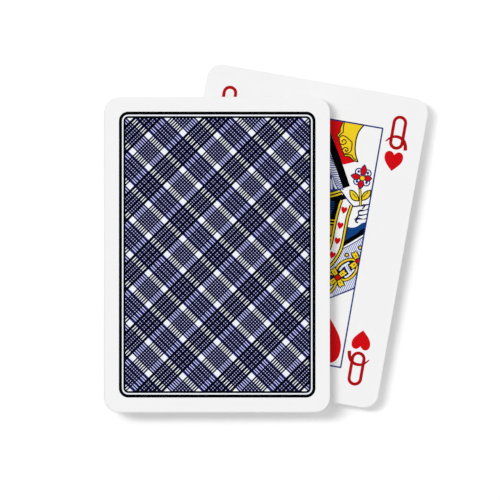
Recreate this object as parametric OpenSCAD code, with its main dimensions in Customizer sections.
// A pack of playing cards: four suits from king to ace and two jokers, squared up face down on a table.
// The queen of hearts lies face up at its own place in the pack, drawn out to the right and turned.
// Every card is one blank of laminated paper, cut with rounded corners. Lengths are in millimetres.
// The origin is the middle of the bottom card's lower face, with +Y to the top edge of the cards.

/* [Card] */
// Width of a card
card_w = 63.5; // [56:0.5:80]
// Height of a card
card_h = 88.9; // [74:0.1:120]
// Radius of a card's corners
corner_r = 4.2; // [2:0.1:6]
// Thickness of a card
card_t = 0.29; // [0.2:0.01:0.4]

/* [Pack] */
// Air that stays between two cards that lie on each other
air_gap = 0.01; // [0.005:0.005:0.05]
// Furthest that a card lies out of line with the pack, to the side and to the top
slip = 0.14; // [0:0.02:0.4]
// Furthest that a card lies turned out of square in the pack, in degrees
skew = 0.1; // [0:0.02:0.4]

/* [Drawn card] */
// Card that is turned face up and drawn out of the pack
drawn_name = "queen_of_hearts"; // ["queen_of_hearts", "king_of_hearts", "ace_of_spades", "ten_of_clubs"]
// How far the drawn card lies to the right of the pack
drawn_right = 21.4; // [0:0.1:30]
// How far the drawn card lies above the pack, towards its top edge
drawn_up = 5.3; // [0:0.1:25]
// Turn of the drawn card, clockwise from above, in degrees
drawn_turn = 10; // [0:0.5:30]

/* [Hidden] */
// Steps in which a full circle is drawn
$fn = 64;

// The pack from the table up: the jokers, then each suit from its king down to its ace
JOKERS = ["black_joker", "red_joker"];
SUITS = ["spades", "diamonds", "hearts", "clubs"];
RANKS = [
    "king", "queen", "jack", "ten", "nine", "eight", "seven",
    "six", "five", "four", "three", "two", "ace"
];
NODES = concat(JOKERS, [for (suit = SUITS) for (rank = RANKS) str(rank, "_of_", suit)]);

// Height from one card's lower face to the next one's
pitch = card_t + air_gap;

// Distance from the middle of a card to the middles of its corner rounds
corner_x = card_w / 2 - corner_r;
corner_y = card_h / 2 - corner_r;

// Turn, in degrees, that spreads the levels' small errors evenly and never repeats them
golden_turn = 137.508;

// How a card lies off the pack's middle, from -1 to 1. The bottom card, at level 0, lies square.
function uneven(level, way) = sin(level * way * golden_turn);

BACK_COLOUR = "midnightblue";
FACE_COLOUR = "whitesmoke";

// Outline of the die that cuts a card: two crossed strips and a round in each corner
module card_outline() {
    square([2 * corner_x, card_h], center = true);
    square([card_w, 2 * corner_y], center = true);
    for (x = [-corner_x, corner_x], y = [-corner_y, corner_y])
        translate([x, y])
            circle(r = corner_r);
}

// One card, with its middle over the origin and its lower face at z = 0
module card_blank() {
    linear_extrude(height = card_t)
        card_outline();
}

// A card that lies face down in the squared pack
module pack_card(level) {
    color(BACK_COLOUR)
        translate([slip * uneven(level, 1), slip * uneven(level, 2), level * pitch])
            rotate([0, 0, skew * uneven(level, 4)])
                card_blank();
}

// The card that lies face up at its level, drawn out and turned
module drawn_card(level) {
    color(FACE_COLOUR)
        translate([drawn_right, drawn_up, level * pitch])
            rotate([0, 0, -drawn_turn])
                card_blank();
}

// A card at its place, counted from the table
module card(level) {
    if (NODES[level] == drawn_name)
        drawn_card(level);
    else
        pack_card(level);
}

for (level = [0 : len(NODES) - 1])
    card(level);
